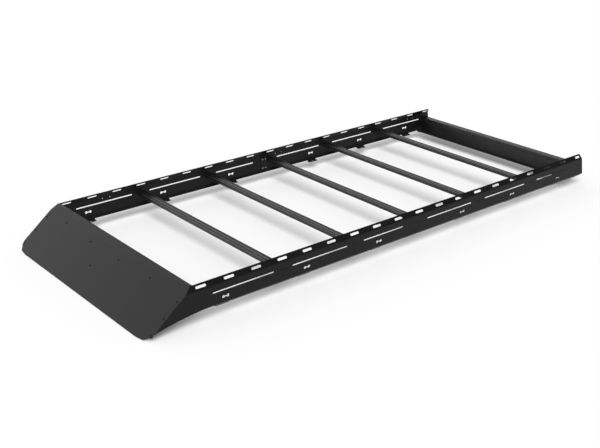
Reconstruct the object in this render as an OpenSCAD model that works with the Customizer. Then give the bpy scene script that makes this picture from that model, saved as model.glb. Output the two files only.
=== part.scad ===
// Full-length roof rack for a van: folded and slotted side rails in two halves each,
// T-slot crossbars between their webs, a sloping fairing in front with a bowed header
// over it, and a folded cross panel under the last crossbar.
// Front is -X, rear is +X, left is +Y and +Z is up. The origin is under the middle of
// the rack's box, level with the fairing's lowest edge.

/* [Rack] */
// Width over the outer faces of the side rails
rack_w = 1500; // [1400:1:1600]
// Distance between neighbouring flange slots; every third one is over a crossbar
slot_pitch = 178; // [170:0.5:190]
// Sheet thickness of rails, fairing, header and panel
sheet = 3; // [2.5:0.1:3.5]
// Inner radius of every fold
bend_r = 3; // [2:0.1:3.5]

/* [Side rails] */
// Height from the underside of the feet to the top of the leaning flange
rail_h = 171; // [165:0.5:180]
// Width of the top flange
flange_w = 38; // [34:0.5:42]
// Lean of the top flange, inwards from the vertical
flange_lean = 30; // [25:0.5:35]
// Height of the lower fold above the underside of the feet
lip_h = 23; // [21:0.5:26]
// Width of the bottom lip
lip_w = 22; // [18:0.5:23]
// Distance that the flange runs on in front of its first slot
front_over = 60; // [55:0.5:70]
// Distance that the flange runs on behind its last slot
rear_over = 24; // [20:0.5:30]
// Slant of the web's rear edge from the vertical
rear_slant = 11.5; // [5:0.5:20]

/* [Slots] */
// Length of a flange slot
flange_slot_l = 66; // [50:0.5:80]
// Length of the rearmost flange slot
last_slot_l = 48; // [40:0.5:52]
// Height of a flange slot
flange_slot_h = 14; // [10:0.5:16]
// Length of a long slit in the web
slit_l = 402; // [360:0.5:420]
// Length of the shorter slit in front of the joint between the rails' halves
short_slit_l = 320; // [280:0.5:340]
// Height of a slit
slit_h = 8; // [5:0.5:10]
// Drop from the flange's fold to the slits' centre line
slit_drop = 42; // [34:0.5:46]
// Height of the twin holes' centre line above the feet
twin_z = 55.5; // [50:0.5:60]
// Diameter of each of the twin holes
twin_d = 17; // [14:0.5:20]
// Distance between the centres of twin holes
twin_gap = 29; // [26:0.5:32]
// Width of the neck between twin holes
twin_neck = 7.6; // [5:0.1:10]

/* [Feet] */
// Length of a foot along the rail
foot_l = 76; // [60:0.5:90]
// Length of the rearmost foot, which carries the rear panel
panel_foot_l = 110; // [90:0.5:120]
// Width of a foot's level tab
foot_d = 22; // [20:0.5:30]
// Width of the slot in a foot
foot_slot_w = 9; // [7:0.1:10]
// Length of the slot in a foot
foot_slot_l = 24; // [18:0.5:30]

/* [Crossbars] */
// Width of a crossbar
bar_w = 52; // [50:0.5:56]
// Height of a crossbar
bar_h = 22.5; // [21.5:0.5:25]
// Radius of a crossbar's corners
bar_r = 1.6; // [0.8:0.1:2.5]
// Drop from the flange's top to the crossbars' top
bar_drop = 67; // [60:0.5:72]
// Mouth width of a T-slot
tslot_mouth = 7; // [6:0.1:8.2]
// Inside width of a T-slot
tslot_w = 13; // [11.5:0.1:14]
// Depth of a T-slot
tslot_depth = 6.4; // [5.5:0.1:6.8]
// Thickness of a T-slot's lips
tslot_lip = 2; // [1.6:0.1:2.4]
// Thickness of a crossbar's inner walls
bar_wall = 2; // [1.5:0.1:2.4]

/* [Fairing] */
// Length of the fairing down its slope
fairing_l = 365; // [345:0.5:380]
// Slope of the fairing from the level
fairing_a = 39; // [37:0.5:41]
// Height of the bow along the fairing's top crease
crease_bow = 36; // [24:0.5:44]
// Width that the header reaches behind the fairing's top line
header_back = 14; // [10:0.5:20]

/* [Hidden] */

black = "#26272a";
bar_black = "#3a3b3f";
$fn = 48;

// Bays between crossbars, counted in flange slots
slots_per_bay = 3;
bays = 6;
last_slot = slots_per_bay * bays;
split_slot = 9;
short_bay = 2;
bay_l = slots_per_bay * slot_pitch;

// Levels, from the fairing's lowest edge up
lip_a = 45;
top_z = fairing_l * sin(fairing_a) + sheet * cos(fairing_a);
foot_z = top_z - rail_h;
low_bend_z = foot_z + lip_h;
high_bend_z = top_z - flange_w * cos(flange_lean);
bar_top_z = top_z - bar_drop;
bar_low_z = bar_top_z - bar_h;
lip_edge_z = low_bend_z - lip_w * cos(lip_a);
foot_fold_in = lip_h * tan(lip_a);

// Down the fairing's slope from its top line to where the rails' flanges fold
fold_down = (top_z - high_bend_z) / sin(fairing_a);

// Widths, from the middle plane out
half_w = rack_w / 2;
inner_w = half_w - sheet;
flange_in = flange_w * sin(flange_lean);
top_half_w = half_w - flange_in;

// Lengths along the rack, with the first flange slot at 0
fairing_tip_x = -front_over - fairing_l * cos(fairing_a);
nose_reach = 238;
nose_tip_z = top_z - nose_reach * tan(fairing_a);
lip_start_x = 84;
flange_slant = 21.8;
rear_top_x = last_slot * slot_pitch + rear_over;
rear_bend_x = rear_top_x + (top_z - high_bend_z) * tan(flange_slant);
rear_low_x = rear_bend_x + (high_bend_z - low_bend_z) * tan(rear_slant);
centre_x = (fairing_tip_x + rear_low_x) / 2;

// Where the feet are, in slot pitches, and where the twin holes over them lie
foot_at = [0.80, 3.92, 7.04, 11.15, 13.92, 16.69];
panel_foot_back = 38;
panel_foot_x = last_slot * slot_pitch - panel_foot_back;
twin_shift = 5;
foot_slot_in = 11;
foot_corner = 6;
foot_cut = 90;
small_pair_at = [1.57, 9.46, 17.05];
small_pair_gap = 54;
small_hole_d = 6;
small_hole_drop = 16.6;

// Screws: into the fairing's sides, its upper row, the bars' ends and the splice plates.
// Those through the rails' webs have flush heads
screw_hole_d = 6.6;
countersink_d = 12.4;
side_screw_down = [104, 212, 315];
side_screw_in = 21;
row_screw_n = 4;
row_screw_pitch = 318;
row_screw_shift = 41;
row_screw_drop = 52;
low_hole = [200, 54];
bar_bore_d = 5;
bar_bore_gap = 26;
splice_screw_gap = 27;
splice_screw_up = 16.5;
splice_screw_drop = 34.6;

// Splice plate: it stands inside the web across the joint between the rail's halves, just
// in front of a crossbar
splice_l = 54;
splice_t = 4;
splice_bar_clear = 1;
splice_low_clear = 7;
splice_high_clear = 8;
splice_low_z = low_bend_z + splice_low_clear;
splice_high_z = high_bend_z - splice_high_clear;
splice_corner_r = 6;
joint_x = split_slot * slot_pitch - bar_w / 2 - splice_bar_clear - splice_l / 2;

// Rear panel, and the screws in its low flange, back from the last crossbar's front
panel_a = 80.2;
panel_top_w = 44;
panel_low_w = 54;
panel_notch_w = 30;
panel_notch_h = 30;
panel_foot_screw_x = [29, 53];
panel_foot_screw_in = 7.5;
panel_bolt_y = [-600, -300, 0, 300, 600];
panel_front_x = last_slot * slot_pitch - bar_w / 2;

// Return flange along the nose, which the fairing's side screws go into
return_w = 34;
return_strip = 12;
return_relief = 10;
return_fold_end = 262;
return_end = 328;
return_gap = 2;
return_corner_r = 6;

fold_step = 10;
big = 6000;

// How far a cut or a joined piece runs past the face that it meets
lap = 1;

// Everything is placed with the rack's middle over the origin
module centred() { translate([-centre_x, 0, 0]) children(); }

// Mirrors what is drawn on the right-hand side, at -Y, to the left
module side(left) { if (left) mirror([0, 1, 0]) children(); else children(); }

// Distance from a fold's mould line to the start of its arc, on the drawn face
function setback(turn) = (turn < 0 ? bend_r + sheet : bend_r) * tan(abs(turn) / 2);

// Points along a folded sheet's drawn face, each with its heading: the straight of run i,
// then the arc of turn i. Runs are measured between mould lines
function dir(heading) = [cos(heading), sin(heading)];
function across(heading) = [-sin(heading), cos(heading)];
function fold_points(runs, turns, at, heading, i) = let (
        straight = runs[i] - (i > 0 ? setback(turns[i - 1]) : 0) - (i < len(turns) ? setback(turns[i]) : 0),
        stop = at + straight * dir(heading),
        start = i == 0 ? [[at, heading]] : [])
    i == len(turns) ? concat(start, [[stop, heading]]) :
    let (
        turn = turns[i],
        radius = turn < 0 ? -bend_r - sheet : bend_r,
        centre = stop + radius * across(heading),
        steps = ceil(abs(turn) / fold_step),
        arc = [for (k = [0 : steps]) let (h = heading + turn * k / steps) [centre - radius * across(h), h]])
    concat(start, arc, fold_points(runs, turns, arc[steps][0], heading + turn, i + 1));

// Cross section of a folded sheet. The drawn face starts at the given point and heading,
// with the sheet on its right
module fold(at, heading, runs, turns) {
    face = fold_points(runs, turns, at, heading, 0);
    polygon(concat(
        [for (f = face) f[0]],
        [for (k = [len(face) - 1 : -1 : 0]) face[k][0] - sheet * across(face[k][1])]));
}

// A slot with round ends, its length along X
module slot_shape(len, wid) {
    square([len - wid, wid], center = true);
    for (s = [-1, 1]) translate([s * (len - wid) / 2, 0]) circle(d = wid);
}

// A rectangle with its two far corners rounded
module tab_shape(len, wid, r) {
    translate([-len / 2, 0]) square([len, wid - r]);
    translate([-len / 2 + r, 0]) square([len - 2 * r, wid]);
    for (s = [-1, 1]) translate([s * (len / 2 - r), wid - r]) circle(r);
}

// Cuts a flat shape right through a wall around the origin: one that lies level,
// or one that faces Y
module through_level() { translate([0, 0, -2 * sheet]) linear_extrude(4 * sheet) children(); }
module through_wall() { rotate([90, 0, 0]) through_level() children(); }

// Runs a cross section along the rack. It is drawn for the right-hand rail: X inwards
// from the web's outer face, Y up
module along(x0, x1) {
    translate([x0, -half_w, 0]) rotate([90, 0, 90]) linear_extrude(x1 - x0) children();
}

// Into the fairing's plane: x runs down the slope, y across, z out of its face
module fairing_frame() {
    translate([-front_over, 0, top_z]) rotate([0, 180 - fairing_a, 0]) mirror([0, 0, 1]) children();
}

// The fairing's back face in side view: where it is at a height
function back_x(z) = -front_over + sheet / sin(fairing_a) - (top_z - z) / tan(fairing_a);

// Lower edge of the nose, which flattens out from its tip to the start of the lip
nose_n = 10;
function nose_x(t) = back_x(nose_tip_z) + (lip_start_x - back_x(nose_tip_z)) * t;
function nose_z(t) = low_bend_z - (low_bend_z - nose_tip_z) * pow(1 - t, 2);

// Side views of the rail, x along the rack and y up: its nose, and the rest behind it
module nose_outline() {
    polygon([
        for (i = [0 : nose_n]) [nose_x(i / nose_n), nose_z(i / nose_n)],
        [lip_start_x + rear_over, low_bend_z], [lip_start_x + rear_over, top_z], [back_x(top_z), top_z]]);
}
module tail_outline() {
    polygon([
        [lip_start_x - rear_over, foot_z - sheet], [rear_low_x, foot_z - sheet], [rear_low_x, low_bend_z],
        [rear_bend_x, high_bend_z], [rear_top_x, top_z], [lip_start_x - rear_over, top_z]]);
}
module from_side() { translate([0, big / 2, 0]) rotate([90, 0, 0]) linear_extrude(big) children(); }

// The folded sheet: sole, lip, web and leaning flange, and the nose without sole and lip
module rail_fold() {
    intersection() {
        along(lip_start_x, rear_low_x + rear_over) fold([foot_fold_in + foot_d, foot_z], 180,
            [foot_d, lip_h / cos(lip_a), high_bend_z - low_bend_z, flange_w], [-lip_a, -lip_a, -flange_lean]);
        from_side() tail_outline();
    }
    intersection() {
        along(back_x(0), lip_start_x) fold([0, 0], 90, [high_bend_z, flange_w], [-flange_lean]);
        from_side() nose_outline();
    }
}

// What is cut away beyond the lip's edge, so that only the feet are left of the sole
foot_ends = [
    for (f = foot_at) [f * slot_pitch - foot_l / 2, f * slot_pitch + foot_l / 2],
    [panel_foot_x - panel_foot_l / 2, panel_foot_x + panel_foot_l / 2]];
module between_feet() {
    starts = [lip_start_x - rear_over, for (e = foot_ends) e[1]];
    stops = [for (e = foot_ends) e[0], rear_low_x + 2 * rear_over];
    for (i = [0 : len(starts) - 1]) along(starts[i], stops[i]) translate([lip_w * sin(lip_a), lip_edge_z])
        rotate(lip_a - 90) translate([0, -foot_cut / 2]) square(foot_cut);
    // corners of the feet
    for (e = foot_ends, i = [0, 1]) translate([e[i], -half_w + foot_fold_in + foot_d, foot_z]) rotate(45)
        cube([foot_corner / cos(45), foot_corner / cos(45), 4 * sheet], center = true);
}

// The flange folded in along the nose, behind the fairing. Its fold stops short of its end
return_from = fold_down + return_relief;
module nose_return() {
    length = return_end - return_from;
    fairing_frame() difference() {
        intersection() {
            translate([return_from - lap, -half_w, -sheet - return_strip - lap]) rotate([90, 0, 90]) linear_extrude(length + 2 * lap)
                fold([0, 0], 90, [return_strip + lap, return_w + lap], [-90]);
            translate([return_from + length / 2, -half_w - lap, -big / 2]) linear_extrude(big)
                tab_shape(length, return_w + lap, return_corner_r);
        }
        translate([return_fold_end, -half_w - 2 * lap, -big / 2]) cube([length, sheet + bend_r + 2 * lap, big]);
    }
}

// What is cut from the nose's web to make room for the folded strip
module nose_return_room() {
    fairing_frame() translate([return_from - return_gap, -half_w - lap, -sheet - return_strip])
        cube([return_fold_end - return_from + 2 * return_gap, sheet + 2 * lap, big]);
}

// A hole for a screw with a flush head, its head's side at the origin and up
module flush_hole() {
    depth = (countersink_d - screw_hole_d) / 2;
    cylinder(d = screw_hole_d, h = 4 * sheet, center = true);
    translate([0, 0, -depth - lap]) cylinder(d1 = screw_hole_d - 2 * lap, d2 = countersink_d + 2 * lap, h = depth + 2 * lap);
}

module splice_screws() {
    for (s = [-1, 1], z = [low_bend_z + splice_screw_up, high_bend_z - splice_screw_drop])
        translate([joint_x + s * splice_screw_gap / 2, -half_w, z]) rotate([90, 0, 0]) children();
}

module bar_end_screws(k) {
    for (s = [-1, 1]) translate([k * bay_l + s * bar_bore_gap / 2, -half_w, bar_top_z - bar_h / 2]) rotate([90, 0, 0]) children();
}

// Screws through the rear panel's low flange into the rearmost feet
module panel_foot_screws() {
    for (x = panel_foot_screw_x) translate([panel_front_x - x, -half_w + foot_fold_in + foot_d - panel_foot_screw_in, foot_z]) children();
}

// The right-hand rail in full, with its slots and holes
module rail_full() {
    difference() {
        union() {
            difference() {
                rail_fold();
                nose_return_room();
            }
            nose_return();
        }
        between_feet();
        // slots in the feet
        for (f = foot_at) translate([f * slot_pitch, -half_w + foot_fold_in + foot_d - foot_slot_in, foot_z])
            through_level() slot_shape(foot_slot_l, foot_slot_w);
        // flange slots, the last one shorter
        for (i = [0 : last_slot]) let (len = i == last_slot ? last_slot_l : flange_slot_l)
            translate([i * slot_pitch - (flange_slot_l - len) / 2, -half_w, high_bend_z]) rotate([-flange_lean, 0, 0])
                translate([0, 0, flange_w / 2]) through_wall() slot_shape(len, flange_slot_h);
        // a slit in each bay, all starting alike
        for (k = [0 : bays - 1]) let (len = k == short_bay ? short_slit_l : slit_l)
            translate([(k + 0.5) * bay_l - (slit_l - len) / 2, -half_w, high_bend_z - slit_drop]) through_wall() slot_shape(len, slit_h);
        // twin holes over the feet
        for (f = foot_at) translate([f * slot_pitch + twin_shift, -half_w, foot_z + twin_z]) through_wall() {
            for (s = [-1, 1]) translate([s * twin_gap / 2, 0]) circle(d = twin_d);
            square([twin_gap, twin_neck], center = true);
        }
        // pairs of small holes
        for (u = small_pair_at, s = [-1, 1]) translate([u * slot_pitch + s * small_pair_gap / 2, -half_w, high_bend_z - small_hole_drop])
            through_wall() circle(d = small_hole_d);
        // screws into the crossbars' ends
        for (k = [1 : bays]) bar_end_screws(k) flush_hole();
        // screws of the splice plate
        splice_screws() flush_hole();
        // screws that hold the rear panel
        panel_foot_screws() cylinder(d = screw_hole_d, h = 4 * sheet, center = true);
        // screws that hold the fairing
        fairing_frame() for (d = side_screw_down) translate([d, -half_w + side_screw_in, -sheet])
            cylinder(d = screw_hole_d, h = 4 * sheet, center = true);
    }
}

module joint_half(rear) {
    translate([joint_x - (rear ? 0 : big), -big / 2, -big / 2]) cube(big);
}

module rail_front(left) {
    color(black) centred() side(left) intersection() {
        rail_full();
        joint_half(false);
    }
}

module rail_rear(left) {
    color(black) centred() side(left) intersection() {
        rail_full();
        joint_half(true);
    }
}

module splice(left) {
    color(black) centred() side(left) difference() {
        translate([joint_x, -inner_w, (splice_low_z + splice_high_z) / 2]) rotate([90, 0, 0])
            translate([0, 0, -splice_t]) linear_extrude(splice_t) rounded(splice_l, splice_high_z - splice_low_z, splice_corner_r);
        splice_screws() cylinder(d = screw_hole_d, h = 4 * (sheet + splice_t), center = true);
    }
}

// A rectangle with four rounded corners
module rounded(w, h, r) {
    square([w - 2 * r, h], center = true);
    square([w, h - 2 * r], center = true);
    for (s = [-1, 1], v = [-1, 1]) translate([s * (w / 2 - r), v * (h / 2 - r)]) circle(r);
}

// A T-slot that opens at the origin and goes down
module tslot() {
    translate([-tslot_mouth / 2, -tslot_lip - bar_r / 2]) square([tslot_mouth, 2 * tslot_lip + bar_r]);
    translate([-tslot_w / 2, -tslot_depth]) square([tslot_w, tslot_depth - tslot_lip]);
}

// Cross section of a crossbar, x along the rack and y up, its middle at the origin
module bar_section() {
    mid_w = bar_w / 2 - tslot_w - 2 * bar_wall;
    difference() {
        rounded(bar_w, bar_h, bar_r);
        for (s = [-1, 1], turn = [0, 180]) rotate(turn) translate([s * bar_w / 4, bar_h / 2]) tslot();
        // chamber between the slots
        rounded(mid_w, bar_h - 2 * bar_wall, bar_r / 2);
        // screw bores
        for (s = [-1, 1]) translate([s * bar_bore_gap / 2, 0]) circle(d = bar_bore_d);
    }
}

// A crossbar from web to web
module bar(k) {
    color(bar_black) centred() translate([k * bay_l, inner_w, bar_top_z - bar_h / 2])
        rotate([90, 0, 0]) linear_extrude(2 * inner_w) bar_section();
}

// Rear cross panel: folded under the last crossbar, down a steep face and forward on to
// the rearmost feet, with its ends notched around the rails' lips
module rear_panel() {
    low_z = foot_z + sheet;
    drop = bar_low_z - sheet - low_z;
    color(black) centred() difference() {
        translate([panel_front_x + panel_top_w, inner_w, bar_low_z - sheet]) rotate([90, 0, 0]) linear_extrude(2 * inner_w)
            fold([0, 0], 180, [panel_top_w - sheet * tan(panel_a / 2), drop / sin(panel_a), panel_low_w], [panel_a, -panel_a]);
        for (left = [false, true]) side(left) {
            translate([panel_front_x - 2 * panel_low_w, -half_w - lap, low_z - lap])
                cube([3 * panel_low_w, panel_notch_w + lap, panel_notch_h + lap - sheet]);
            panel_foot_screws() cylinder(d = screw_hole_d, h = 6 * sheet, center = true);
        }
        for (y = panel_bolt_y) translate([last_slot * slot_pitch - bar_w / 4, y, bar_low_z])
            cylinder(d = screw_hole_d, h = 4 * sheet, center = true);
    }
}

// Outline of the fairing's plate, x down the slope and y across: the crease on top, the
// fold line of the rails' flanges at the sides, and a cut corner at either end below. The
// cut's three vertices lie up from the low edge and in from the side, each eased off
corner_cut = [[59, 0], [9, 46], [0, 105]];
corner_ease = [14, 9, 22];
ease_n = 5;
crease_n = 28;
function bow(y) = crease_bow * (1 - pow(y / top_half_w, 2));
function toward(a, b, len) = a + len * (b - a) / norm(b - a);
function eased(a, v, b, len) = let (p = toward(v, a, len), q = toward(v, b, len))
    [for (i = [0 : ease_n]) let (t = i / ease_n) (1 - t) * ((1 - t) * p + t * v) + t * ((1 - t) * v + t * q)];
corner_line = concat([[fairing_l - fold_down, 0]], corner_cut, [[0, half_w]]);
corner = [for (i = [0 : 2]) each [for (c = eased(corner_line[i], corner_line[i + 1], corner_line[i + 2], corner_ease[i]))
    [fairing_l - c[0], half_w - c[1]]]];
module fairing_outline() {
    polygon([
        for (i = [-crease_n : crease_n]) let (y = top_half_w * i / crease_n) [bow(y), y],
        [fold_down, half_w],
        each corner,
        for (i = [len(corner) - 1 : -1 : 0]) [corner[i][0], -corner[i][1]],
        [fold_down, -half_w]]);
}

module fairing_screws() {
    for (s = [-1, 1], x = side_screw_down) translate([x, s * (half_w - side_screw_in), -sheet])
        cylinder(d = screw_hole_d, h = 4 * sheet, center = true);
    for (i = [0 : row_screw_n - 1]) let (y = row_screw_shift + (i - (row_screw_n - 1) / 2) * row_screw_pitch)
        translate([bow(y) + row_screw_drop, y, -sheet]) cylinder(d = screw_hole_d, h = 6 * sheet, center = true);
}

module fairing() {
    color(black) centred() fairing_frame() difference() {
        translate([0, 0, -sheet]) linear_extrude(sheet) fairing_outline();
        fairing_screws();
        translate(low_hole) cylinder(d = screw_hole_d, h = 4 * sheet, center = true);
    }
}

// The header over the fairing, drawn in the fairing's frame: a strip from the back edge
// down to the crease, and a flange behind the fairing that the row of screws goes into
header_n = 24;
header_clear = 0.4;
header_flange = 74;
header_end_gap = 56;
header_half_w = top_half_w - sheet * cos(flange_lean) - header_clear;
back_in = [-header_back * cos(fairing_a), -header_back * sin(fairing_a)];
function strip_run(y) = let (v = [bow(y), 0] - back_in) v / norm(v);
function strip_section(y) = let (run = strip_run(y))
    [back_in, [bow(y), 0], [bow(y), -sheet / run[0]], back_in + sheet * [run[1], -run[0]]];

// Where the strip's underside comes level with the flange's
function strip_low(y) = let (run = strip_run(y)) bow(y) - sheet * (2 * run[0] - 1) / run[1];

module header_strip() {
    n = 2 * header_n;
    points = [for (i = [-header_n : header_n]) let (y = header_half_w * i / header_n)
        each [for (p = strip_section(y)) [p[0], y, p[1]]]];
    faces = concat(
        [[0, 1, 2, 3]],
        [for (i = [0 : n - 1], j = [0 : 3]) [4 * i + 4 + j, 4 * i + 4 + (j + 1) % 4, 4 * i + (j + 1) % 4]],
        [for (i = [0 : n - 1], j = [0 : 3]) [4 * i + 4 + j, 4 * i + (j + 1) % 4, 4 * i + j]],
        [[4 * n + 3, 4 * n + 2, 4 * n + 1, 4 * n]]);
    polyhedron(points, faces);
}

module header_flange_plate() {
    ys = [for (i = [-header_n : header_n]) (header_half_w - header_end_gap) * i / header_n];
    translate([0, 0, -2 * sheet]) linear_extrude(sheet) polygon(concat(
        [for (y = ys) [bow(y) + header_flange, y]],
        [for (k = [len(ys) - 1 : -1 : 0]) [strip_low(ys[k]) + lap, ys[k]]]));
}

module fairing_header() {
    color(black) centred() fairing_frame() difference() {
        union() {
            header_strip();
            header_flange_plate();
        }
        fairing_screws();
    }
}

rail_front(true);  // rail_front_left
rail_front(false);  // rail_front_right
rail_rear(true);  // rail_rear_left
rail_rear(false);  // rail_rear_right
splice(true);  // splice_left
splice(false);  // splice_right
bar(1);  // bar_1
bar(2);  // bar_2
bar(3);  // bar_3
bar(4);  // bar_4
bar(5);  // bar_5
bar(6);  // bar_6
rear_panel();
fairing();
fairing_header();
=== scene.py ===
import math
import bpy
from mathutils import Euler, Matrix, Vector


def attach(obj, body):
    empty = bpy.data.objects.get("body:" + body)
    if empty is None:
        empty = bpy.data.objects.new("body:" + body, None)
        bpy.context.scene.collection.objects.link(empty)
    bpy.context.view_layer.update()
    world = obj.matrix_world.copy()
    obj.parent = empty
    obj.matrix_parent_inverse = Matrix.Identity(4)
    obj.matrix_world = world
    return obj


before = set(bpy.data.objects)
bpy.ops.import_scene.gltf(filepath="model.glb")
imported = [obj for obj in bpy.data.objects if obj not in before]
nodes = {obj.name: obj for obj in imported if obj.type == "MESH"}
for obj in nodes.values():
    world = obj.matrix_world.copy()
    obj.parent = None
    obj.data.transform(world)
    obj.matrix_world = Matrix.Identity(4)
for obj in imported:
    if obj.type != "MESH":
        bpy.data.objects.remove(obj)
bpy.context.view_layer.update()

mm = 0.001
print("frame loaded,", len(nodes), "parts of the rack")


def linearColour(hexText):
    parts = [int(hexText[i:i + 2], 16) / 255 for i in (1, 3, 5)]
    return [c / 12.92 if c <= 0.04045 else ((c + 0.055) / 1.055) ** 2.4 for c in parts] + [1.0]


def addNode(tree, kind, links=None, **settings):
    # links: input name or number -> a value, or another node's output
    node = tree.nodes.new("ShaderNode" + kind)
    for name, value in settings.items():
        setattr(node, name, value)
    for name, value in (links or {}).items():
        if isinstance(value, bpy.types.NodeSocket):
            tree.links.new(value, node.inputs[name])
        else:
            node.inputs[name].default_value = value
    return node


def newMaterial(name):
    material = bpy.data.materials.new(name)
    material.use_nodes = True
    material.node_tree.nodes.clear()
    return material, material.node_tree


def tint(tree, colour, pattern, span, shades):
    # a colour made darker or lighter by a pattern: span is the part of the pattern that is
    # used, and shades are the strengths at its two ends
    shade = addNode(tree, "MapRange", {
        "Value": pattern, "From Min": span[0], "From Max": span[1],
        "To Min": shades[0], "To Max": shades[1]})
    return addNode(tree, "VectorMath", {0: colour, "Scale": shade.outputs["Result"]},
                   operation="SCALE").outputs["Vector"]


# Sheet aluminium with a satin black polyester powder coat, sprayed and baked: a close,
# slightly pebbled skin, duller where it has been handled, thinner and paler on cut edges
powder = {
    "colour": "#131313",
    "edgeColour": "#353535",
    "roughness": 0.39,
    "specular": 0.14,
    "pebble": 8 * mm,        # spacing of the orange peel, about 2 mm in truth, coarser to show
    "pebbleDepth": 0.3 * mm,
    "grain": 1.6 * mm,       # spacing of the finer grain on it, drawn twice as coarse as it is
    "grainDepth": 0.04 * mm,
    "handled": 170 * mm,     # size of the duller patches
    "edge": 0.9 * mm,        # how far the coat thins in from an edge
    "edgeSpan": (0.995, 0.86),   # cosine of the rounding where the paler coat starts and is full
    "patchSpan": (0.35, 0.65),   # part of the patches' noise that is used
    "patchShades": (0.92, 1.08),
    "edgeStrength": 0.8,
}


def powderCoat():
    material, tree = newMaterial("satinPowderCoat")
    spot = addNode(tree, "TexCoord").outputs["Object"]
    peel = addNode(tree, "TexNoise", {
        "Vector": spot, "Scale": 1 / powder["pebble"], "Detail": 1.0, "Roughness": 0.4})
    grain = addNode(tree, "TexNoise", {
        "Vector": spot, "Scale": 1 / powder["grain"], "Detail": 2.0, "Roughness": 0.6})
    patches = addNode(tree, "TexNoise", {
        "Vector": spot, "Scale": 1 / powder["handled"], "Detail": 4.0, "Roughness": 0.55})
    # rounded normal along every edge, which also tells how near an edge is
    rounded = addNode(tree, "Bevel", {"Radius": powder["edge"]}, samples=6).outputs["Normal"]
    true = addNode(tree, "NewGeometry").outputs["Normal"]
    facing = addNode(tree, "VectorMath", {0: rounded, 1: true}, operation="DOT_PRODUCT")
    edge = addNode(tree, "MapRange", {
        "Value": facing.outputs["Value"],
        "From Min": powder["edgeSpan"][0], "From Max": powder["edgeSpan"][1],
        "To Min": 0.0, "To Max": powder["edgeStrength"]})
    broken = addNode(tree, "Math", {0: edge.outputs["Result"], 1: grain.outputs["Fac"]},
                     operation="MULTIPLY")
    # 6 and 7 are the node's colour inputs, and its output 2 is the colour
    colour = addNode(tree, "Mix", {
        "Factor": broken.outputs[0],
        6: linearColour(powder["colour"]), 7: linearColour(powder["edgeColour"])}, data_type="RGBA")
    tinted = tint(tree, colour.outputs[2], patches.outputs["Fac"],
                  powder["patchSpan"], powder["patchShades"])
    dull = addNode(tree, "MapRange", {
        "Value": patches.outputs["Fac"],
        "From Min": powder["patchSpan"][0], "From Max": powder["patchSpan"][1],
        "To Min": powder["roughness"] - 0.03, "To Max": powder["roughness"] + 0.05})
    skin = addNode(tree, "Bump", {
        "Height": peel.outputs["Fac"], "Strength": 0.5, "Distance": powder["pebbleDepth"],
        "Normal": rounded})
    fine = addNode(tree, "Bump", {
        "Height": grain.outputs["Fac"], "Strength": 0.2, "Distance": powder["grainDepth"],
        "Normal": skin.outputs["Normal"]})
    shader = addNode(tree, "BsdfPrincipled", {
        "Base Color": tinted, "Roughness": dull.outputs["Result"], "Normal": fine.outputs["Normal"],
        "Specular IOR Level": powder["specular"], "IOR": 1.5})
    addNode(tree, "OutputMaterial", {"Surface": shader.outputs["BSDF"]})
    return material


# Extruded aluminium, dyed black in the anodising bath: a thin hard oxide over metal,
# with the die's faint lines along the bar
anodised = {
    "colour": "#181818",
    "roughness": 0.26,
    "specular": 0.33,
    "dieLine": 2.5 * mm,     # spacing of the lines across the bar, 0.5 mm in truth, coarser to show
    "dieDepth": 0.03 * mm,
    "dieLength": 260 * mm,
    "lineSpan": (0.3, 0.7),  # part of the lines' noise that is used, and its shades
    "lineShades": (0.88, 1.14),
    "cloud": 120 * mm,       # size of the duller and brighter clouds in the oxide
    "cloudSpan": (0.35, 0.65),
    "edge": 0.5 * mm,
}


def blackAnodised():
    material, tree = newMaterial("blackAnodisedAluminium")
    spot = addNode(tree, "TexCoord").outputs["Object"]
    across, along = 1 / anodised["dieLine"], 1 / anodised["dieLength"]
    drawn = addNode(tree, "Mapping", {"Vector": spot, "Scale": (across, along, across)})
    lines = addNode(tree, "TexNoise", {
        "Vector": drawn.outputs[0], "Scale": 1.0, "Detail": 3.0, "Roughness": 0.6})
    cloud = addNode(tree, "TexNoise", {
        "Vector": spot, "Scale": 1 / anodised["cloud"], "Detail": 3.0})
    rounded = addNode(tree, "Bevel", {"Radius": anodised["edge"]}, samples=6)
    tinted = tint(tree, linearColour(anodised["colour"])[:3], lines.outputs["Fac"],
                  anodised["lineSpan"], anodised["lineShades"])
    dull = addNode(tree, "MapRange", {
        "Value": cloud.outputs["Fac"],
        "From Min": anodised["cloudSpan"][0], "From Max": anodised["cloudSpan"][1],
        "To Min": anodised["roughness"] - 0.03, "To Max": anodised["roughness"] + 0.04})
    scored = addNode(tree, "Bump", {
        "Height": lines.outputs["Fac"], "Strength": 0.25, "Distance": anodised["dieDepth"],
        "Normal": rounded.outputs["Normal"]})
    shader = addNode(tree, "BsdfPrincipled", {
        "Base Color": tinted, "Roughness": dull.outputs["Result"],
        "Normal": scored.outputs["Normal"],
        "Specular IOR Level": anodised["specular"], "IOR": 1.5})
    addNode(tree, "OutputMaterial", {"Surface": shader.outputs["BSDF"]})
    return material


# Moulded black nylon, as it leaves the tool: a dull, faintly clouded skin
nylonSkin = {
    "colour": "#131313",
    "roughness": (0.48, 0.58),
    "specular": 0.14,
    "cloud": 2.5 * mm,
    "cloudSpan": (0.3, 0.7),
    "cloudShades": (0.85, 1.15),
}


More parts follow.
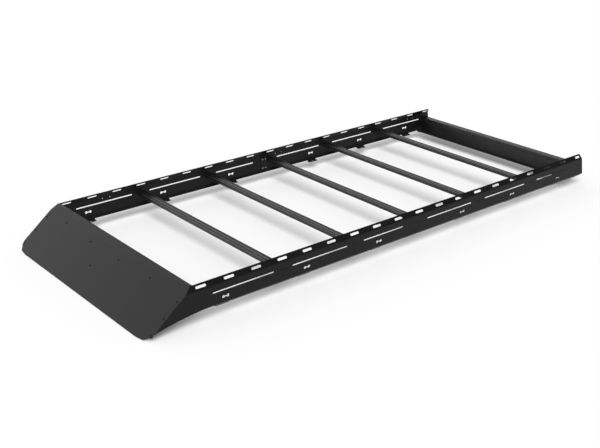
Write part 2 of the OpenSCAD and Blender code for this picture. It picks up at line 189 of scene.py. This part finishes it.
def blackNylon():
    material, tree = newMaterial("blackNylon")
    spot = addNode(tree, "TexCoord").outputs["Object"]
    cloud = addNode(tree, "TexNoise", {
        "Vector": spot, "Scale": 1 / nylonSkin["cloud"], "Detail": 2.0})
    tinted = tint(tree, linearColour(nylonSkin["colour"])[:3], cloud.outputs["Fac"],
                  nylonSkin["cloudSpan"], nylonSkin["cloudShades"])
    dull = addNode(tree, "MapRange", {
        "Value": cloud.outputs["Fac"],
        "From Min": nylonSkin["cloudSpan"][0], "From Max": nylonSkin["cloudSpan"][1],
        "To Min": nylonSkin["roughness"][0], "To Max": nylonSkin["roughness"][1]})
    shader = addNode(tree, "BsdfPrincipled", {
        "Base Color": tinted, "Roughness": dull.outputs["Result"],
        "Specular IOR Level": nylonSkin["specular"], "IOR": 1.53})
    addNode(tree, "OutputMaterial", {"Surface": shader.outputs["BSDF"]})
    return material


# Steel fasteners, tumbled and plated, so slightly mottled: a matt black coating over zinc
# on the screws and bolts, which hides the metal, and bright zinc on the nuts inside
steelMottle = {"spacing": 1.5 * mm, "depth": 0.02 * mm, "span": (0.3, 0.7), "shades": (0.8, 1.2)}
blackPlate = {"colour": "#0c0c0c", "roughness": 0.50, "metallic": 0.0, "specular": 0.12}
brightPlate = {"colour": "#7c7e80", "roughness": 0.42, "metallic": 1.0, "specular": 0.5}


def platedSteel(name, plate):
    material, tree = newMaterial(name)
    spot = addNode(tree, "TexCoord").outputs["Object"]
    mottle = addNode(tree, "TexNoise", {
        "Vector": spot, "Scale": 1 / steelMottle["spacing"], "Detail": 2.0})
    tinted = tint(tree, linearColour(plate["colour"])[:3], mottle.outputs["Fac"],
                  steelMottle["span"], steelMottle["shades"])
    dull = addNode(tree, "MapRange", {
        "Value": mottle.outputs["Fac"],
        "From Min": steelMottle["span"][0], "From Max": steelMottle["span"][1],
        "To Min": plate["roughness"] - 0.05, "To Max": plate["roughness"] + 0.07})
    pitted = addNode(tree, "Bump", {
        "Height": mottle.outputs["Fac"], "Strength": 0.15, "Distance": steelMottle["depth"]})
    shader = addNode(tree, "BsdfPrincipled", {
        "Base Color": tinted, "Roughness": dull.outputs["Result"],
        "Metallic": plate["metallic"], "Normal": pitted.outputs["Normal"],
        "Specular IOR Level": plate["specular"]})
    addNode(tree, "OutputMaterial", {"Surface": shader.outputs["BSDF"]})
    return material


coat = powderCoat()
anodise = blackAnodised()
blackSteel = platedSteel("blackZincSteel", blackPlate)
nylon = blackNylon()
brightSteel = platedSteel("zincPlatedSteel", brightPlate)

for name, part in nodes.items():
    part.data.materials.clear()
    part.data.materials.append(anodise if name.startswith("bar_") else coat)
print("finishes assigned")


def deselectAll():
    if bpy.context.mode != "OBJECT":
        bpy.ops.object.mode_set(mode="OBJECT")
    bpy.ops.object.select_all(action="DESELECT")


def selectOnly(piece):
    deselectAll()
    piece.select_set(True)
    bpy.context.view_layer.objects.active = piece


def startPiece(name, sides, radius, depth, z):
    # a prism or cylinder; z is the height of its middle
    deselectAll()
    bpy.ops.mesh.primitive_cylinder_add(
        vertices=sides, radius=radius * mm, depth=depth * mm, location=(0, 0, z * mm))
    piece = bpy.context.object
    piece.name = piece.data.name = name
    bpy.ops.object.transform_apply(location=True, rotation=True, scale=True)
    return piece


def pickEnd(piece, up):
    # leaves the piece in edit mode with its top or bottom face selected
    selectOnly(piece)
    bpy.context.tool_settings.mesh_select_mode = (False, False, True)
    bpy.ops.object.mode_set(mode="EDIT")
    bpy.ops.mesh.select_all(action="DESELECT")
    bpy.ops.object.mode_set(mode="OBJECT")
    end = max(piece.data.polygons, key=lambda f: f.center.z * (1 if up else -1))
    end.select = True
    bpy.ops.object.mode_set(mode="EDIT")


def growEnd(rise, scale=1.0):
    # extrudes the face that is selected, and widens or narrows it
    bpy.ops.mesh.extrude_region_move(TRANSFORM_OT_translate={"value": (0, 0, rise * mm)})
    if scale != 1.0:
        bpy.ops.transform.resize(value=(scale, scale, 1.0))


def growShank(piece, head, shank, length):
    # a thinner shank down from the bottom face
    pickEnd(piece, up=False)
    bpy.ops.mesh.inset(thickness=(head - shank) / 2 * mm)
    growEnd(-length)


def cutWith(piece, tool, operation):
    selectOnly(piece)
    change = piece.modifiers.new("cut", "BOOLEAN")
    change.operation = operation
    change.object = tool
    change.solver = "EXACT"
    bpy.ops.object.modifier_apply(modifier="cut")
    bpy.data.objects.remove(tool)


bevelOver, smoothUnder = 38, 35      # angles between faces, in degrees


def softenEdges(piece, width, segments=2):
    selectOnly(piece)
    change = piece.modifiers.new("soft", "BEVEL")
    change.width = width * mm
    change.segments = segments
    change.limit_method = "ANGLE"
    change.angle_limit = math.radians(bevelOver)
    bpy.ops.object.modifier_apply(modifier="soft")
    bpy.ops.object.shade_smooth_by_angle(angle=math.radians(smoothUnder))


# How many sides the round pieces have
headSides, boreSides, threadSides = 36, 32, 24


def hexRadius(acrossFlats):
    return acrossFlats / 2 / math.cos(math.radians(30))


def cutSocket(piece, top, key, depth):
    cutWith(piece, startPiece("socket", 6, hexRadius(key), 2 * depth, top), "DIFFERENCE")


# Hexagon of a nut or a bolt's head, with its upper corners turned down
hexagon = {"turned": 1.0, "narrowed": 0.86, "clear": 1.01}


def addHexagon(piece, acrossFlats, base, height):
    middle, turned = base + height / 2, hexagon["turned"]
    flats = startPiece("flats", 6, hexRadius(acrossFlats), height, middle)
    corners = startPiece("corners", headSides, hexRadius(acrossFlats) * hexagon["clear"],
                         height - turned, middle - turned / 2)
    pickEnd(corners, up=True)
    growEnd(turned, hexagon["narrowed"])
    cutWith(flats, corners, "INTERSECT")
    cutWith(piece, flats, "UNION")


# Countersunk socket screw, its flat head's top at z = 0
def flatScrew(size):
    rim = 0.3
    piece = startPiece("flatScrew", headSides, size["head"] / 2, rim, -rim / 2)
    pickEnd(piece, up=False)
    growEnd(-(size["head"] - size["thread"]) / 2, size["thread"] / size["head"])
    growEnd(-size["length"])
    cutSocket(piece, 0, size["key"], size["socket"])
    softenEdges(piece, width=0.12)
    return piece


# Button head socket screw, its seat at z = 0: a low rim and a dome over it
dome = {"rim": 0.5, "steps": 5, "arc": math.radians(68), "shrink": 0.42}


def buttonScrew(size):
    rim, radius = dome["rim"], size["head"] / 2
    piece = startPiece("buttonScrew", headSides, radius, rim, rim / 2)
    pickEnd(piece, up=True)
    low, wide = rim, radius
    for i in range(1, dome["steps"] + 1):
        angle = dome["arc"] * i / dome["steps"]
        bowed = (1 - math.cos(angle)) / (1 - math.cos(dome["arc"]))
        rise = rim + (size["rise"] - rim) * math.sin(angle) / math.sin(dome["arc"])
        across = radius * (1 - dome["shrink"] * bowed)
        growEnd(rise - low, across / wide)
        low, wide = rise, across
    growShank(piece, size["head"], size["thread"], size["length"])
    cutSocket(piece, size["rise"], size["key"], size["socket"])
    softenEdges(piece, width=0.12)
    return piece


# Thread's end, standing on z = 0: each turn of it is a cone out, a narrow crest and a cone in
turnShares = {"cone": 0.4, "crest": 0.2, "tip": 0.3}        # of the thread's pitch


def threadEnd(thread, pitch, turns, base):
    piece = startPiece("threadEnd", threadSides, (thread - pitch) / 2, base, base / 2)
    pickEnd(piece, up=True)
    wide = thread / (thread - pitch)
    for i in range(turns):
        growEnd(turnShares["cone"] * pitch, wide)
        growEnd(turnShares["crest"] * pitch)
        growEnd(turnShares["cone"] * pitch, 1 / wide)
    growEnd(turnShares["tip"] * pitch, scale=0.86)
    return piece


# Flanged nut on the end of its bolt, its seat at z = 0
nutShape = {
    "rim": 0.8, "cone": 1.0, "root": 1.02,      # the flange, up to the hexagon's root
    "shoulder": (0.1, 0.9),                     # rise and narrowing
    "sunk": 0.6, "boreGap": 0.45, "boreDeep": 2.0, "turns": 3,
}


def flangeNut(size):
    rim, sunk = nutShape["rim"], nutShape["sunk"]
    piece = startPiece("flangeNut", headSides, size["flange"] / 2, rim, rim / 2)
    pickEnd(piece, up=True)
    growEnd(nutShape["cone"], size["flats"] * nutShape["root"] / size["flange"])
    growEnd(*nutShape["shoulder"])
    addHexagon(piece, size["flats"], sunk, size["height"] - sunk)
    bore = startPiece("bore", boreSides, size["thread"] / 2 + nutShape["boreGap"],
                      nutShape["boreDeep"], size["height"])
    cutWith(piece, bore, "DIFFERENCE")
    end = threadEnd(size["thread"], size["pitch"], nutShape["turns"], size["height"])
    cutWith(piece, end, "UNION")
    softenEdges(piece, width=0.15)
    return piece


# Hexagon bolt head on a washer, its seat at z = 0
def hexBolt(size):
    thick = size["thick"]
    piece = startPiece("hexBolt", headSides, size["washer"] / 2, thick, thick / 2)
    addHexagon(piece, size["flats"], thick, size["height"])
    softenEdges(piece, width=0.15)
    return piece


def setCopies(source, name, places, finish):
    # places: (x, y, z in metres, turn); each copy has its own mesh and stays at the origin
    for i, (x, y, z, turn) in enumerate(places):
        piece = source.copy()
        piece.data = source.data.copy()
        piece.name = piece.data.name = "%s_%02d" % (name, i + 1)
        bpy.context.collection.objects.link(piece)
        piece.data.materials.clear()
        piece.data.materials.append(finish)
        selectOnly(piece)
        piece.location = (x, y, z)
        piece.rotation_euler = turn
        bpy.ops.object.transform_apply(location=True, rotation=True, scale=True)
        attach(piece, "root")
    bpy.data.objects.remove(source)
    print(name, len(places))


# Where things are on the rack, with the first flange slot at x = 0
rack = {
    "middle": 1460.4604,     # from the first flange slot back to the rack's middle
    "pitch": 178.0,          # from one flange slot to the next
    "slotsPerBay": 3,
    "bars": 6,
    "halfWidth": 750.0,
    "sheet": 3.0,
    "top": 232.0334,         # heights over the fairing's lowest edge: the flanges' top,
    "foot": 61.0334,         # the feet's underside,
    "lowBend": 84.0334,      # the webs' lower and upper folds,
    "highBend": 199.1244,
    "barTop": 165.0334,      # and the crossbars' top
    "barHeight": 22.5,
    "barWidth": 52.0,
}
barPitch = rack["slotsPerBay"] * rack["pitch"]
bothSides = (-1, 1)          # right and left


def at(x, y, z):
    return ((x - rack["middle"]) * mm, y * mm, z * mm)


# Turns that point a piece's top outwards from the right or left web, or down
toSide = {-1: (math.radians(90), 0, 0), 1: (math.radians(-90), 0, 0)}
downwards = (math.radians(180), 0, 0)
upwards = (0, 0, 0)


def onWeb(x, side, z, depth):
    # a piece that points outwards, at a depth under the web's outer face
    return at(x, side * (rack["halfWidth"] - depth), z) + (toSide[side],)


# Screws through the fairing into the rails' folded noses and the header's flange
fairingScrew = {
    "head": 10.5, "rise": 2.8, "thread": 6.0, "length": 5.5, "key": 4.0, "socket": 1.7,
    "slope": 39.0, "start": -60.0,          # the fairing's slope in degrees, and x of its top line
    "down": [104, 212, 315], "inFromSide": 21,      # the screws along the sides
    "rowCount": 4, "rowPitch": 318, "rowShift": 41, "rowDrop": 52,
    "bow": 36, "bowHalf": 731,              # the header's bowed crease, which the row follows
    "low": (200, 54),                       # the single lower screw, down the slope and to the left
}
fairingSlope = math.radians(fairingScrew["slope"])
outwards = (0, -fairingSlope, 0)
inwards = (0, math.radians(180) - fairingSlope, 0)


def onFairing(down, y, lift=0.0):
    # down the slope from its top line, and lifted off its face
    along, up = math.cos(fairingSlope), math.sin(fairingSlope)
    return at(fairingScrew["start"] - down * along - lift * up, y,
              rack["top"] - down * up + lift * along)


def fairingScrewSpots():
    spots = [(d, s * (rack["halfWidth"] - fairingScrew["inFromSide"]))
             for s in bothSides for d in fairingScrew["down"]]
    for i in range(fairingScrew["rowCount"]):
        fromMiddle = i - (fairingScrew["rowCount"] - 1) / 2
        y = fairingScrew["rowShift"] + fromMiddle * fairingScrew["rowPitch"]
        bowed = fairingScrew["bow"] * (1 - (y / fairingScrew["bowHalf"]) ** 2)
        spots.append((bowed + fairingScrew["rowDrop"], y))
    return spots


setCopies(buttonScrew(fairingScrew), "fairingScrew",
          [onFairing(d, y) + (outwards,) for d, y in fairingScrewSpots() + [fairingScrew["low"]]],
          blackSteel)

fairingNut = {"flange": 13.6, "flats": 10.0, "height": 5.6, "thread": 6.0, "pitch": 1.0}
setCopies(flangeNut(fairingNut), "fairingNut",
          [onFairing(d, y, -2 * rack["sheet"]) + (inwards,) for d, y in fairingScrewSpots()],
          brightSteel)

# Seam sealer that closes the bend reliefs beside the noses' folded flanges
noseSealer = {
    "wide": 1.9, "thick": 2.9, "deep": 11.7, "soft": 0.5, "softSteps": 3,
    "down": [61.3, 263.0], "behind": 9.0,   # down the slope, and behind the fairing's face
}


def sealerBead(size):
    deselectAll()
    bpy.ops.mesh.primitive_cube_add(size=mm)
    piece = bpy.context.object
    piece.scale = (size["wide"], size["thick"], size["deep"])
    bpy.ops.object.transform_apply(location=True, rotation=True, scale=True)
    softenEdges(piece, size["soft"], size["softSteps"])
    return piece


midWeb = rack["halfWidth"] - rack["sheet"] / 2
setCopies(sealerBead(noseSealer), "noseSealer",
          [onFairing(d, s * midWeb, -noseSealer["behind"]) + (outwards,)
           for d in noseSealer["down"] for s in bothSides], coat)

# Flush screws through the webs into the ends of the crossbars
barScrew = {
    "head": 11.4, "thread": 6.0, "length": 6.0, "key": 4.0, "socket": 1.9,
    "gap": 26.0, "sunk": 0.1,               # between the two screws, and below the web's face
}
setCopies(flatScrew(barScrew), "barScrew",
          [onWeb(barPitch * k + s * barScrew["gap"] / 2, side,
                 rack["barTop"] - rack["barHeight"] / 2, barScrew["sunk"])
           for k in range(1, rack["bars"] + 1) for s in (-1, 1) for side in bothSides], blackSteel)

# Flush screws of the plates across the rails' joints, with their nuts inside
spliceScrew = {
    "head": 11.4, "thread": 6.0, "length": 4.0, "key": 4.0, "socket": 1.9, "sunk": 0.1,
    "joint": 1548.0, "gap": 27.0,           # x of the joint, and from screw to screw across it
    "up": 16.5, "down": 34.6,               # from the web's lower fold, and from its upper one
    "plate": 4.0,                           # thickness of the plate behind the web
}
spliceRows = (rack["lowBend"] + spliceScrew["up"], rack["highBend"] - spliceScrew["down"])
spliceSpots = [(spliceScrew["joint"] + s * spliceScrew["gap"] / 2, z)
               for s in (-1, 1) for z in spliceRows]
setCopies(flatScrew(spliceScrew), "spliceScrew",
          [onWeb(x, side, z, spliceScrew["sunk"]) for x, z in spliceSpots for side in bothSides],
          blackSteel)

spliceNut = {"flange": 14.2, "flats": 10.0, "height": 6.0, "thread": 6.0, "pitch": 1.0}
behindPlate = rack["halfWidth"] - rack["sheet"] - spliceScrew["plate"]
setCopies(flangeNut(spliceNut), "spliceNut",
          [at(x, side * behindPlate, z) + (toSide[-side],)
           for x, z in spliceSpots for side in bothSides],
          brightSteel)

# Black nylon plugs that close the right-hand rail's pairs of small holes: pushed in from
# inside the rail, so that they end flush with its face
holePlug = {
    "head": 8.4, "rise": 0.7,
    "crown": [(0.2, 0.9), (0.1, 0.8)],      # the head's rounding: rise and narrowing
    "stem": 5.8, "length": 2.9, "chamfer": 0.2, "narrowed": 0.94, "soft": 0.1,
    "at": [1.57, 9.46, 17.05],              # middles of the pairs, in pitches from the first slot
    "gap": 54, "down": 16.6,                # from hole to hole, and below the web's upper fold
}


def plug(size):
    rim = size["rise"] - sum(rise for rise, scale in size["crown"])
    piece = startPiece("holePlug", boreSides, size["head"] / 2, rim, rim / 2)
    pickEnd(piece, up=True)
    for rise, scale in size["crown"]:
        growEnd(rise, scale)
    growShank(piece, size["head"], size["stem"], size["length"] - size["chamfer"])
    growEnd(-size["chamfer"], size["narrowed"])
    softenEdges(piece, size["soft"])
    return piece


insideWeb = rack["sheet"] - rack["halfWidth"]
setCopies(plug(holePlug), "holePlug",
          [at(u * rack["pitch"] + s * holePlug["gap"] / 2, insideWeb,
              rack["highBend"] - holePlug["down"]) + (toSide[1],)
           for u in holePlug["at"] for s in (-1, 1)], nylon)

# Bolts up into the last crossbar's lower T-slot
panelBolt = {
    "washer": 14.0, "thick": 1.6, "flats": 10.0, "height": 4.0,
    "across": [-600, -300, 0, 300, 600],
}
lastBar = rack["bars"] * barPitch
underPanel = rack["barTop"] - rack["barHeight"] - rack["sheet"]
setCopies(hexBolt(panelBolt), "panelBolt",
          [at(lastBar - rack["barWidth"] / 4, y, underPanel) + (downwards,)
           for y in panelBolt["across"]], blackSteel)

# Screws down through the panel's lower flange into the rearmost feet
panelScrew = {
    "head": 10.5, "rise": 3.0, "thread": 6.0, "length": 5.5, "key": 4.0, "socket": 1.8,
    "ahead": [29, 53], "in": 37.5,          # in front of the last crossbar, and in from the web
}
setCopies(buttonScrew(panelScrew), "panelScrew",
          [at(lastBar - rack["barWidth"] / 2 - x, side * (rack["halfWidth"] - panelScrew["in"]),
              rack["foot"] + 2 * rack["sheet"]) + (upwards,)
           for x in panelScrew["ahead"] for side in bothSides], blackSteel)
print("fasteners placed")


# Pale floor, white to the camera and in reflections, that keeps the rack's soft shadow;
# it is clear when looked at from below
floorLook = {
    "size": 60.0,            # in metres
    "drop": 0.2 * mm,        # under the rack's lowest edge
    "colour": "#e6e6e6",
    "lift": 0.05,            # light that the floor adds of its own, for the camera and reflections
}


def studioFloor():
    deselectAll()
    bpy.ops.mesh.primitive_plane_add(size=floorLook["size"], location=(0, 0, -floorLook["drop"]))
    floor = bpy.context.object
    floor.name = "studioFloor"
    material, tree = newMaterial("paleFloor")
    seen = addNode(tree, "LightPath").outputs
    either = addNode(tree, "Math", {0: seen["Is Camera Ray"], 1: seen["Is Glossy Ray"]},
                     operation="MAXIMUM")
    anyRay = addNode(tree, "Math", {0: either.outputs[0], 1: seen["Is Transmission Ray"]},
                     operation="MAXIMUM")
    lift = addNode(tree, "Math", {0: anyRay.outputs[0], 1: floorLook["lift"]},
                   operation="MULTIPLY")
    paint = addNode(tree, "BsdfDiffuse", {"Color": linearColour(floorLook["colour"])})
    glow = addNode(tree, "Emission", {"Strength": lift.outputs[0]})
    both = addNode(tree, "AddShader", {0: paint.outputs[0], 1: glow.outputs[0]})
    clear = addNode(tree, "BsdfTransparent")
    below = addNode(tree, "NewGeometry").outputs["Backfacing"]
    surface = addNode(tree, "MixShader", {0: below, 1: both.outputs[0], 2: clear.outputs[0]})
    addNode(tree, "OutputMaterial", {"Surface": surface.outputs[0]})
    floor.data.materials.append(material)


studioFloor()


# White walls all round, but the studio is darker beyond the rack's right-hand side, and
# that side shows in what the rack reflects
studio = {
    "fill": 0.53,            # even light that the walls give
    "darkSide": (0.61, -0.68, 0.41),
    "dark": 0.05,            # how bright that side is, where white is 1
    "darkSpan": (0.0, 0.85),     # cosine from its middle where it begins and is full
}


def studioWorld():
    world = bpy.data.worlds.new("studio")
    bpy.context.scene.world = world
    world.use_nodes = True
    tree = world.node_tree
    tree.nodes.clear()
    seen = addNode(tree, "LightPath").outputs
    reflected = addNode(tree, "Math", {0: seen["Is Glossy Ray"], 1: seen["Is Transmission Ray"]},
                        operation="MAXIMUM")
    direction = addNode(tree, "TexCoord").outputs["Generated"]
    towards = addNode(tree, "VectorMath", {0: direction, 1: studio["darkSide"]},
                      operation="DOT_PRODUCT")
    walls = addNode(tree, "MapRange", {
        "Value": towards.outputs["Value"],
        "From Min": studio["darkSpan"][0], "From Max": studio["darkSpan"][1],
        "To Min": 1.0, "To Max": studio["dark"]}, interpolation_type="SMOOTHSTEP")
    light = addNode(tree, "Mix", {
        "Factor": reflected.outputs[0], "A": studio["fill"], "B": walls.outputs["Result"]})
    strength = addNode(tree, "Mix", {
        "Factor": seen["Is Camera Ray"], "A": light.outputs["Result"], "B": 1.0})
    glow = addNode(tree, "Background", {
        "Color": (1, 1, 1, 1), "Strength": strength.outputs["Result"]})
    addNode(tree, "OutputWorld", {"Surface": glow.outputs[0]})


studioWorld()


# Lamps far off, each wide enough in degrees for soft edges, and two of them seen only in
# reflections
lamps = {
    # from high above the camera
    "keyLight": {"from": (-0.40, -0.54, 0.74), "strength": 2.9, "spread": 38, "onlyGloss": False},
    # from high behind the left-hand rail: the sheen on the fairing
    "sheenLight": {"from": (-0.32, 0.76, 0.56), "strength": 1.02, "spread": 78, "onlyGloss": True},
    # low beyond the front left-hand corner: the even grey on the rear panel's face
    "lowLight": {"from": (-0.70, 0.70, 0.10), "strength": 2.0, "spread": 24, "onlyGloss": True},
}
lampDistance = 8             # in metres


def addLamp(name, light):
    data = bpy.data.lights.new(name, "SUN")
    data.energy = light["strength"]
    data.angle = math.radians(light["spread"])
    lamp = bpy.data.objects.new(name, data)
    lamp.location = [lampDistance * v for v in light["from"]]
    lamp.rotation_euler = (-Vector(light["from"])).to_track_quat("-Z", "Y").to_euler()
    lamp.visible_diffuse = not light["onlyGloss"]
    bpy.context.collection.objects.link(lamp)


for name, light in lamps.items():
    addLamp(name, light)
print("studio lit")

# The photograph's viewpoint: a long lens from the front right-hand corner, above the rack
view = {
    "spot": (-3.90241, -4.49161, 2.44903),      # in metres
    "azimuth": -39.57382, "elevation": 22.97949, "roll": 0.10616,
    "lens": 58.174, "sensor": 36.0,
    "near": 0.05, "far": 200,                   # in metres
}


def addCamera():
    data = bpy.data.cameras.new("camera")
    data.lens = view["lens"]
    data.sensor_width = view["sensor"]
    data.clip_start, data.clip_end = view["near"], view["far"]
    camera = bpy.data.objects.new("camera", data)
    aim = Euler((math.radians(90 - view["elevation"]), 0, math.radians(view["azimuth"])))
    turn = aim.to_matrix() @ Matrix.Rotation(math.radians(view["roll"]), 3, "Z")
    camera.location = view["spot"]
    camera.rotation_euler = turn.to_euler()
    bpy.context.collection.objects.link(camera)
    bpy.context.scene.camera = camera


addCamera()
bpy.context.scene.view_settings.view_transform = "Standard"
print("camera set")
